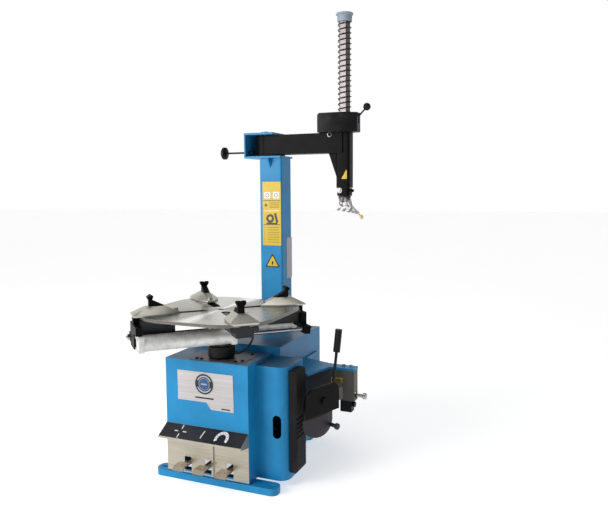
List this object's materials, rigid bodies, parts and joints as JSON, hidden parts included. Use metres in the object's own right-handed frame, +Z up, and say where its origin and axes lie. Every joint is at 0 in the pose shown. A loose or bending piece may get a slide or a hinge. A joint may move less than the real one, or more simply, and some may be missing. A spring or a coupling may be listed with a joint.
{
  "type": "tire changer",
  "caption": "Swing-arm tire changer with a rotating clamp table, a spring-loaded mounting head, foot pedals and a side bead breaker.",
  "frame": {"origin": "on the floor, under the middle of the whole machine's bounding box", "axes": "+Z up, -Y towards the operator, +X to the operator's right"},
  "size_m": [0.761, 0.834, 1.785],
  "materials": {
    "amber_plastic": "worn nylon",
    "black_paint": "satin enamel",
    "black_plastic": "fine grain",
    "black_rubber": "moulded",
    "blue_paint": "smooth powder coat",
    "cap_grey": "satin enamel",
    "cast_iron": "as cast, machined bores",
    "chrome": "hard chrome",
    "grey_paint": "satin enamel",
    "machined": "milled and ground",
    "plate_silver": "satin sheet",
    "spring_steel": "oiled spring wire",
    "stainless": "brushed sheet",
    "zinc": "zinc plated"
  },
  "bodies": {
    "breaker_arm": {"breaker_arm": "grey_paint"},
    "breaker_blade": {"blade_carrier": "black_paint", "breaker_blade": "grey_paint", "breaker_handle": "black_plastic"},
    "breaker_cylinder": {"breaker_cylinder": "machined"},
    "breaker_pedal": {"breaker_pedal": "stainless"},
    "breaker_rod": {"breaker_rod": "chrome"},
    "clamp_pedal": {"clamp_pedal": "stainless"},
    "jaw_a": {"clamp_cylinder_front": "machined", "clamp_rod_rear": "chrome", "end_block_a": "black_paint", "jaw_a": "black_paint", "rack_a": "machined", "slide_a": "machined"},
    "jaw_b": {"jaw_b": "black_paint", "rack_b": "machined", "slide_b": "machined"},
    "jaw_c": {"jaw_c": "black_paint", "rack_c": "machined", "slide_c": "machined"},
    "jaw_d": {"clamp_cylinder_rear": "machined", "clamp_rod_front": "chrome", "end_block_d": "black_paint", "jaw_d": "black_paint", "rack_d": "machined", "slide_d": "machined"},
    "limit_screw": {"limit_screw": "black_plastic"},
    "lock_lever": {"lock_lever": "black_plastic"},
    "machine": {"arm_pin": "zinc", "bead_pad": "black_rubber", "breaker_hinge_bracket": "blue_paint", "breaker_hinge_pin": "zinc", "cabinet": "blue_paint", "column": "blue_paint", "column_head": "blue_paint", "drive_belt": "black_rubber", "drive_motor": "grey_paint", "front_rail": "blue_paint", "gearbox_housing": "cast_iron", "name_plate": "plate_silver", "pedal_panel": "stainless", "pedal_shaft": "zinc", "rear_rail": "blue_paint", "side_cover": "blue_paint"},
    "motor_pulley": {"motor_pulley": "cast_iron"},
    "swing_arm": {"lock_cover": "black_plastic", "return_spring": "spring_steel", "swing_arm": "black_paint"},
    "sync_pinion": {"sync_pinion": "machined"},
    "table_pedal": {"table_pedal": "stainless"},
    "table": {"air_hose": "black_rubber", "rotary_union": "black_plastic", "table_plate": "stainless", "table_shaft": "machined", "worm_wheel": "machined"},
    "tool_shaft": {"head_insert": "amber_plastic", "hex_shaft": "chrome", "mount_head": "chrome", "shaft_cap": "cap_grey"},
    "worm": {"worm_shaft": "cast_iron"}
  },
  "joints": [
    {"name": "table_spin", "type": "hinge", "parent": "machine", "child": "table", "pos_m": [-0.09054, -0.12704, 0.643], "axis": [0, 0, 1], "continuous": true},
    {"name": "worm_spin", "type": "hinge", "parent": "machine", "child": "worm", "pos_m": [-0.09054, -0.05554, 0.372], "axis": [1, 0, 0], "continuous": true},
    {"name": "motor_spin", "type": "hinge", "parent": "machine", "child": "motor_pulley", "pos_m": [0.00146, 0.12696, 0.115], "axis": [1, 0, 0], "continuous": true},
    {"name": "jaw_a_slide", "type": "slide", "parent": "table", "child": "jaw_a", "axis": [0.7071, 0.7071, 0], "range_m": [0, 0.11]},
    {"name": "jaw_b_slide", "type": "slide", "parent": "table", "child": "jaw_b", "axis": [0.7071, -0.7071, 0], "range_m": [0, 0.11]},
    {"name": "jaw_c_slide", "type": "slide", "parent": "table", "child": "jaw_c", "axis": [-0.7071, 0.7071, 0], "range_m": [0, 0.11]},
    {"name": "jaw_d_slide", "type": "slide", "parent": "table", "child": "jaw_d", "axis": [-0.7071, -0.7071, 0], "range_m": [0, 0.11]},
    {"name": "sync_pinion_spin", "type": "hinge", "parent": "table", "child": "sync_pinion", "pos_m": [-0.09054, -0.12704, 0.597], "axis": [0, 0, 1], "range_deg": [-5, 190]},
    {"name": "arm_swing", "type": "hinge", "parent": "machine", "child": "swing_arm", "pos_m": [-0.13354, 0.35196, 1.23], "axis": [0, 0, 1], "range_deg": [-94, 15]},
    {"name": "shaft_slide", "type": "slide", "parent": "swing_arm", "child": "tool_shaft", "axis": [0, 0, 1], "range_m": [-0.25, 0], "stiffness_N_per_m": 600, "springref_m": 0.25, "deforming": ["return_spring"]},
    {"name": "lock_lever_turn", "type": "hinge", "parent": "swing_arm", "child": "lock_lever", "pos_m": [0.26846, 0.35196, 1.357], "axis": [0, 1, 0], "range_deg": [0, 38], "stiffness_Nm_per_rad": 1, "springref_deg": -8.59},
    {"name": "limit_screw_travel", "type": "slide", "parent": "machine", "child": "limit_screw", "axis": [1, 0, 0], "range_m": [-0.025, 0]},
    {"name": "clamp_pedal_tilt", "type": "hinge", "parent": "machine", "child": "clamp_pedal", "pos_m": [-0.19804, -0.06304, 0.075], "axis": [1, 0, 0], "range_deg": [0, 7], "stiffness_Nm_per_rad": 60, "springref_deg": -2.29},
    {"name": "breaker_pedal_tilt", "type": "hinge", "parent": "machine", "child": "breaker_pedal", "pos_m": [-0.11254, -0.06304, 0.075], "axis": [1, 0, 0], "range_deg": [0, 7], "stiffness_Nm_per_rad": 60, "springref_deg": -2.29},
    {"name": "table_pedal_tilt", "type": "hinge", "parent": "machine", "child": "table_pedal", "pos_m": [-0.02054, -0.06304, 0.075], "axis": [1, 0, 0], "range_deg": [-5, 7], "stiffness_Nm_per_rad": 60, "springref_deg": -0.69},
    {"name": "breaker_swing", "type": "hinge", "parent": "machine", "child": "breaker_arm", "pos_m": [0.23146, 0.32496, 0.258], "axis": [0, 0, 1], "range_deg": [0, 35]},
    {"name": "blade_tilt", "type": "hinge", "parent": "breaker_arm", "child": "breaker_blade", "pos_m": [0.27046, -0.04254, 0.316], "axis": [-0.9336, 0.3584, 0], "range_deg": [-8, 8]},
    {"name": "cylinder_swing", "type": "hinge", "parent": "machine", "child": "breaker_cylinder", "pos_m": [-0.23354, 0.17096, 0.278], "axis": [0, 0, 1], "range_deg": [-1, 8.5]},
    {"name": "breaker_rod_slide", "type": "slide", "parent": "breaker_cylinder", "child": "breaker_rod", "axis": [1, 0, 0], "range_m": [-0.002, 0.085]}
  ],
  "couplings": [
    {"joint": "worm_spin", "follows": "table_spin", "ratio": 36},
    {"joint": "motor_spin", "follows": "table_spin", "ratio": 73.636},
    {"joint": "jaw_b_slide", "follows": "jaw_a_slide", "ratio": 1},
    {"joint": "jaw_c_slide", "follows": "jaw_a_slide", "ratio": 1},
    {"joint": "jaw_d_slide", "follows": "jaw_a_slide", "ratio": 1},
    {"joint": "sync_pinion_spin", "follows": "jaw_a_slide", "rad_per_m": 28.571},
    {"joint": "cylinder_swing", "follows": "breaker_swing", "ratio": 0.215},
    {"joint": "breaker_rod_slide", "follows": "breaker_swing", "m_per_rad": 0.1275}
  ]
}
